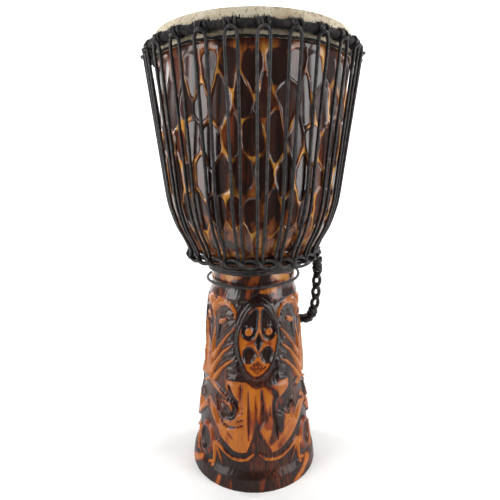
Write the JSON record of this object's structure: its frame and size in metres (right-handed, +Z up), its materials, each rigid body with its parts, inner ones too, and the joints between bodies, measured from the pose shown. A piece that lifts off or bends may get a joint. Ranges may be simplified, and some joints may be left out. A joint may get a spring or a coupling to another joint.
{
  "type": "goblet drum",
  "caption": "Goblet-shaped ritual drum with a rope-laced skin head, scooped wooden bowl, carved mask foot and braided rope handle.",
  "frame": {"origin": "on the ground, under the middle of the foot", "axes": "+Z up along the drum to its skin, -Y towards the front of the carved mask, +X towards the side with the braided handle"},
  "size_m": [0.288, 0.288, 0.6],
  "materials": {
    "wood": "burnt, carved and varnished",
    "skin": "shaved goatskin, matt",
    "ring": "iron ring wrapped in black cloth",
    "rope": "black braided rope"
  },
  "bodies": {
    "root": {"shell": "wood", "drum_head": "skin", "crown_ring": "ring", "flesh_ring": "ring", "bottom_ring": "ring", "lacing_rope": "rope", "waist_winding": "rope", "braided_handle": "rope"}
  },
  "joints": []
}
